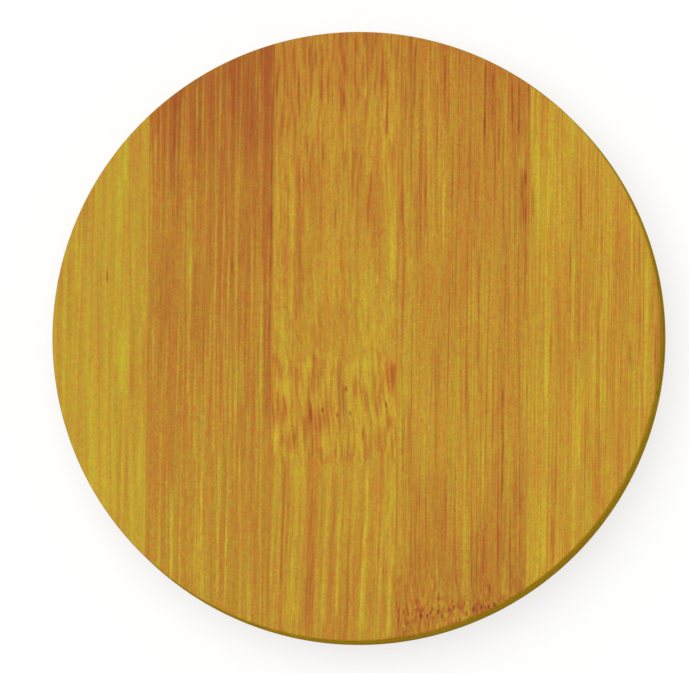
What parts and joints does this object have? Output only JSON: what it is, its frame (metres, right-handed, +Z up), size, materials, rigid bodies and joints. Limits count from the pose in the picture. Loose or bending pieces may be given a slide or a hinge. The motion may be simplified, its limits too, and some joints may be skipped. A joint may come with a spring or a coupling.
{
  "type": "drink coaster",
  "caption": "Round flat coaster that keeps a cup off the table, laminated from bamboo strips in glued plies with a cross-grain core.",
  "frame": {"origin": "centre of the flat underside, on the surface that the coaster rests on", "axes": "+Z up through the thickness towards the cup, +Y along the grain of the face and back strips, +X across them"},
  "size_m": [0.1, 0.1, 0.008],
  "materials": {
    "face_bamboo_1": "satin",
    "face_bamboo_2": "satin",
    "face_bamboo_3": "satin",
    "face_bamboo_4": "satin",
    "face_bamboo_5": "satin",
    "face_bamboo_6": "satin",
    "core_bamboo": "satin",
    "back_bamboo": "satin",
    "glue": "satin"
  },
  "bodies": {
    "root": {"face_strip_1": "face_bamboo_1", "face_strip_2": "face_bamboo_2", "face_strip_3": "face_bamboo_3", "face_strip_4": "face_bamboo_4", "face_strip_5": "face_bamboo_5", "face_strip_6": "face_bamboo_6", "face_edge_glue": "glue", "upper_glue_film": "glue", "core_strip_1": "core_bamboo", "core_strip_2": "core_bamboo", "core_strip_3": "core_bamboo", "core_strip_4": "core_bamboo", "core_strip_5": "core_bamboo", "core_edge_glue": "glue", "lower_glue_film": "glue", "back_strip_1": "back_bamboo", "back_strip_2": "back_bamboo", "back_strip_3": "back_bamboo", "back_strip_4": "back_bamboo", "back_strip_5": "back_bamboo", "back_edge_glue": "glue"}
  },
  "joints": []
}
